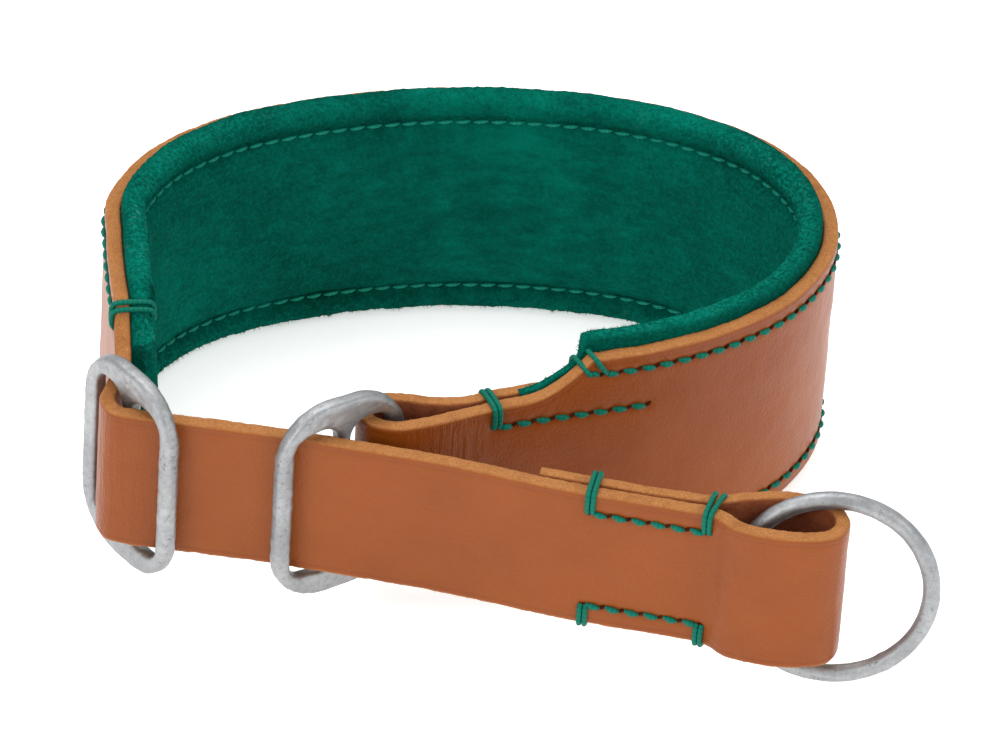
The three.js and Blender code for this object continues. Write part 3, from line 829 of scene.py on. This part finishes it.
def over_edge(tubes, s, face_z, edge, back_offset, back_inset, spread=0.43, drift=0.0):
    """Strands taken over an edge from a hole on the grain side to one on the back; edge(s) is its height."""
    sign = 1 if edge(s) > face_z else -1
    for k in range(STRANDS):
        ds = (k - (STRANDS - 1) / 2) * 2 * spread
        edge_z = float(edge(s + ds + drift))
        back_z = edge_z - sign * back_inset
        key = np.array([  # off the grain, height, share of the drift
            (0.25, face_z, 0.0),
            (-0.34, face_z + sign * 0.7, 0.15),
            (-0.40, edge_z - sign * 0.5, 0.5),
            (0.10, edge_z + sign * 0.42, 0.7),
            (back_offset * 0.5, edge_z + sign * 0.51, 0.85),
            (back_offset - 0.1, edge_z + sign * 0.42, 0.95),
            (back_offset + 0.42, edge_z - sign * 0.5, 1.0),
            (back_offset + 0.36, back_z + sign * 0.7, 1.0),
            (back_offset - 0.2, back_z, 1.0)])
        t = np.linspace(0, len(key) - 1, 34)
        o, z, dr = (np.interp(t, range(len(key)), key[:, c]) for c in range(3))
        for _ in range(3):
            o[1:-1] = (o[:-2] + 2 * o[1:-1] + o[2:]) / 4
            z[1:-1] = (z[:-2] + 2 * z[1:-1] + z[2:]) / 4
        tubes.add(plan.place(s + ds + drift * dr, o, z), STITCH_R * 0.95, 8,
                  across=plan.place(s + 1, 0, 0) - plan.place(s, 0, 0), taper_ends=False)


def finish_thread(tubes, slits, name, body):
    """Makes a seam's thread and slits, which ride one body, or are left unparented with their placement
    baked in when body is None.
    """
    thread = tubes.build(name, THREAD_MAT)
    for ob in (thread, slits.build(name + "_holes", HOLE_MAT)):
        if body is None:
            flexes(ob)
        else:
            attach(ob, body)
    return thread


outer, outer_slits, inner = Tubes(), Tubes(), Tubes()
band_holes = band_stitches()
# The seam's two ends: which hole, the wrap's station at the edge, its depth behind, and its spread.
BAND_WRAPS = ((0, S_LEFT_WRAP + 0.3, 3.4, 0.38), (-1, S_RIGHT_SHOULDER + 1.2, 1.5, 0.8))
for sign, edge in ((1, high), (-1, low)):
    outer_run(outer, outer_slits, band_holes, edge(band_holes) - sign * OUTER_INSET)
    inner_run(inner, band_holes, edge(band_holes) - sign * INNER_INSET, LEATHER + 2.95)
    for k, over, back, spread in BAND_WRAPS:
        hole = band_holes[k]
        over_edge(outer, hole, float(edge(hole)) - sign * OUTER_INSET, lambda q: edge(q) + sign * 0.2,
                  LEATHER + back, 2.2, drift=over - hole, spread=spread)
band_thread = finish_thread(outer, outer_slits, "band_seam_thread", None)
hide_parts("band_seam_top_left", "band_seam_top_right",
            "band_seam_bottom_left", "band_seam_bottom_right")
inner_thread = inner.build("band_seam_thread_inside", INNER_THREAD_MAT)
flexes(inner_thread)

tongue, tongue_slits = Tubes(), Tubes()
for holes, heights in SEAMS[2:4]:
    tongue_edge = STRAP_HIGH if heights[0] > STRAP_MIDDLE else STRAP_LOW
    outer_run(tongue, tongue_slits, holes, heights)
    over_edge(tongue, holes[-1], heights[-1], lambda q: tongue_edge, LEATHER + SKIVED + 0.35, TONGUE_INSET)
tongue_thread = finish_thread(tongue, tongue_slits, "tongue_seam_thread", "band_right")
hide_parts("tongue_seam_top", "tongue_seam_bottom")

fold, fold_slits = Tubes(), Tubes()
for holes, heights in SEAMS[4:6]:
    edge = high if heights[0] > STRAP_MIDDLE else low
    outer_run(fold, fold_slits, holes, heights)
    for q in (0, -1):
        over_edge(fold, holes[q], heights[q], edge, LEATHER + SKIVED + 0.85, TONGUE_INSET)
fold_thread = finish_thread(fold, fold_slits, "strap_seam_thread", "band_left")
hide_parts("strap_seam_top", "strap_seam_bottom")


# ---- rings --------------------------------------------------------------------------------------
def outline(corners, radius, steps=10):
    """A four-cornered outline with each corner turned into an arc."""
    pts = []
    c = [Vector(p) for p in corners]
    for i in range(4):
        p = c[i]
        before = (c[i - 1] - p).normalized()
        after = (c[(i + 1) % 4] - p).normalized()
        half = before.angle(after) / 2
        reach = radius / math.tan(half)
        centre = p + (before + after).normalized() * (radius / math.sin(half))
        a = p + before * reach - centre
        b = p + after * reach - centre
        a0 = math.atan2(a.y, a.x)
        turn = (math.atan2(b.y, b.x) - a0 + math.pi) % math.tau - math.pi
        for k in range(steps + 1):
            ang = a0 + turn * k / steps
            pts.append((centre.x + radius * math.cos(ang), centre.y + radius * math.sin(ang)))
    return pts


# A slide lies in its own plane. One end bar reaches HALF_BAR to either side of x = 0, the middle bar
# fills MIDDLE_BAR, and the other end bar runs from HALF_BAR before SLIDE_SPAN to FAR_REACH past it.
SLIDE_SPAN, HALF_BAR, MIDDLE_BAR, FAR_REACH = 20.1, 1.45, (9.25, 11.65), 1.65
SLIDE_THICK, SLIDE_BEVEL = 2.7, 0.95
SLIDE_VOXEL = 0.24


def cast_frame(name, seed):
    """A two-window cast frame, rounded all over: its vertices and faces."""
    def rect(x0, x1, h0, h1):
        return [(x0, -h0 / 2), (x1, -h1 / 2), (x1, h1 / 2), (x0, h0 / 2)]

    loops = [outline(rect(-HALF_BAR, SLIDE_SPAN + FAR_REACH, 36.8, 35.8), 9.4, 18),
             outline(rect(HALF_BAR, MIDDLE_BAR[0], 27.0, 28.0), 2.9),
             outline(rect(MIDDLE_BAR[1], SLIDE_SPAN - HALF_BAR, 28.0, 27.0), 2.9)]
    cu = bpy.data.curves.new(name, "CURVE")
    cu.dimensions = "2D"
    cu.fill_mode = "BOTH"
    for pts in loops:
        sp = cu.splines.new("POLY")
        sp.points.add(len(pts) - 1)
        for q, (x, y) in zip(sp.points, pts):
            q.co = (x, y, 0, 1)
        sp.use_cyclic_u = True
    cu.extrude = SLIDE_THICK / 2 - SLIDE_BEVEL
    cu.bevel_depth = SLIDE_BEVEL
    cu.bevel_resolution = 5
    cu.offset = -SLIDE_BEVEL
    rough = solid_of(bpy.data.objects.new(name + "_tmp", cu))

    ob = bpy.data.objects.new(name, rough)
    remesh = ob.modifiers.new("r", "REMESH")
    remesh.mode, remesh.voxel_size = "VOXEL", SLIDE_VOXEL
    soften = ob.modifiers.new("s", "SMOOTH")
    soften.factor, soften.iterations = 0.5, 5
    fine = solid_of(ob)
    v, normals = (np.empty(len(fine.vertices) * 3) for _ in range(2))
    fine.vertices.foreach_get("co", v)
    fine.vertices.foreach_get("normal", normals)
    v, normals = v.reshape(-1, 3), normals.reshape(-1, 3)
    worn = (0.035 * waves(seed, v[:, 0], v[:, 1], 4)
            + 0.02 * waves(seed + 1, v[:, 0] + v[:, 2], v[:, 1], 1.4))
    return v + normals * worn[:, None], [tuple(p.vertices) for p in fine.polygons]


def solid_of(ob):
    """The mesh that an object comes to with its modifiers; the object itself is taken away."""
    bpy.context.scene.collection.objects.link(ob)
    bpy.context.view_layer.update()
    me = bpy.data.meshes.new_from_object(ob.evaluated_get(bpy.context.evaluated_depsgraph_get()))
    bpy.data.objects.remove(ob)
    return me


def placed(v, x, y, z, yaw):
    """Stands a flat frame up at (x, y, z) of the plan, turned by yaw degrees."""
    a = math.radians(yaw)
    out = np.empty_like(v)
    out[:, 0] = x + v[:, 0] * math.cos(a) + v[:, 2] * math.sin(a) + SHIFT[0]
    out[:, 1] = y + v[:, 0] * math.sin(a) - v[:, 2] * math.cos(a) + SHIFT[1]
    out[:, 2] = z + v[:, 1] + SHIFT[2]
    return out


def metal_piece(name, verts, faces, cad_name):
    """A piece of metal that takes the place of the CAD node and body of one name."""
    ob = outward(mesh_object(name, verts, faces, METAL_MAT))
    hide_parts(cad_name)
    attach(ob, cad_name)


for name, cad_name, where, seed in (("stop_slide_cast_frame", "stop_ring", (-43.9, -52.1, 19.9, 129), 61),
                                    ("strap_slide_cast_frame", "slide_ring", (-25.9, -53.8, 20, 35.2), 71)):
    slide_verts, slide_faces = cast_frame(name, seed)
    metal_piece(name, placed(slide_verts, *where), slide_faces, cad_name)


# The lead ring: bent wire with a weld, worn a little uneven, about the axis that it spins on.
RING_R, WIRE_R, WELD_ANGLE, WELD_REACH = 15.4, 1.4, 2.2, 0.7
RING_STEPS, WIRE_STEPS = 192, 24


def lead_ring():
    centre = np.array(joints["lead_ring_spin"]["pos_m"]) * 1000
    spin = np.array(joints["lead_ring_spin"]["axis"])
    e1 = np.cross(spin, (0, 0, 1.0))
    e1 /= np.linalg.norm(e1)
    e2 = np.cross(spin, e1)
    A = np.linspace(0, math.tau, RING_STEPS, endpoint=False)[:, None]
    B = np.linspace(0, math.tau, WIRE_STEPS, endpoint=False)[None, :]
    wire = (WIRE_R + 0.03 * np.sin(3 * A + 1) * np.sin(2 * B) + 0.02 * np.sin(11 * A + 2 * B)
            + 0.012 * np.sin(29 * A - 3 * B))
    weld = 0.10 * np.exp(-(((A - WELD_ANGLE) * RING_R) / WELD_REACH) ** 2)
    R = (RING_R + (wire + weld) * np.cos(B))[..., None]
    H = ((wire + weld) * np.sin(B))[..., None]
    verts = centre + (np.cos(A)[..., None] * e1 + np.sin(A)[..., None] * e2) * R + spin * H

    def index(i, j):
        return (i % RING_STEPS) * WIRE_STEPS + j % WIRE_STEPS

    faces = [(index(i, j), index(i + 1, j), index(i + 1, j + 1), index(i, j + 1))
             for i in range(RING_STEPS) for j in range(WIRE_STEPS)]
    metal_piece("lead_ring_wire", verts.reshape(-1, 3), faces, "lead_ring")


lead_ring()

# ---- stage --------------------------------------------------------------------------------------
FLOOR_HALF, FLOOR_Z = 6, -0.0004  # metres
scene = bpy.context.scene
floor_mesh = bpy.data.meshes.new("studio_floor")
corners = ((-1, -1), (1, -1), (1, 1), (-1, 1))
floor_mesh.from_pydata([(x * FLOOR_HALF, y * FLOOR_HALF, FLOOR_Z) for x, y in corners], [], [(0, 1, 2, 3)])
floor = bpy.data.objects.new("studio_floor", floor_mesh)
scene.collection.objects.link(floor)
floor_material, _, floor_shader = material("studio_floor_white")
floor_shader.inputs["Base Color"].default_value = (0.93, 0.93, 0.93, 1)
floor_shader.inputs["Roughness"].default_value = 0.8
floor_shader.inputs["Emission Color"].default_value = (1, 1, 1, 1)
floor_shader.inputs["Emission Strength"].default_value = 0.52
floor.data.materials.append(floor_material)

scene.view_settings.view_transform = "Standard"
world = bpy.data.worlds.new("studio")
world.use_nodes = True
background = world.node_tree.nodes["Background"]
background.inputs["Color"].default_value = (1, 1, 1, 1)
background.inputs["Strength"].default_value = 0.80
scene.world = world


def area(name, where, size, power):
    """A round softbox at where, in metres, that points at the collar."""
    li = bpy.data.lights.new(name, "AREA")
    li.shape, li.size, li.energy = "DISK", size, power
    ob = bpy.data.objects.new(name, li)
    ob.location = where
    ob.rotation_euler = (Vector(LIT_POINT) - Vector(where)).to_track_quat("-Z", "Y").to_euler()
    scene.collection.objects.link(ob)


LIT_POINT = (0, 0, 0.02)
area("overhead_softbox", (-0.15, 0.25, 0.9), 0.7, 4.2)
area("front_left_softbox", (-0.75, -0.8, 0.6), 0.55, 3.6)
area("front_right_softbox", (0.85, -0.55, 0.55), 0.5, 2.2)

# ---- camera: looks along +Y, down at the collar, turned a little about its own line of sight ------
CAMERA_PLACE = (6.49, -1100, 810.578)  # in the plan's frame
CAMERA_LENS, CAMERA_SENSOR = 303.27, 36
pitch, roll = math.radians(36.052), math.radians(3.964)
forward = Vector((0, math.cos(pitch), -math.sin(pitch)))
level_up = Vector((0, math.sin(pitch), math.cos(pitch)))
level_right = Vector((1, 0, 0))
x_axis = level_right * math.cos(roll) + level_up * math.sin(roll)
y_axis = -level_right * math.sin(roll) + level_up * math.cos(roll)
cam = bpy.data.objects.new("camera", bpy.data.cameras.new("camera"))
cam.data.sensor_width = CAMERA_SENSOR
cam.data.lens = CAMERA_LENS
cam.data.clip_end = 30
place = Vector([(a + b) * MM for a, b in zip(CAMERA_PLACE, SHIFT)])
cam.matrix_world = Matrix((
    (x_axis.x, y_axis.x, -forward.x, place.x), (x_axis.y, y_axis.y, -forward.y, place.y),
    (x_axis.z, y_axis.z, -forward.z, place.z), (0, 0, 0, 1)))
scene.collection.objects.link(cam)
scene.camera = cam
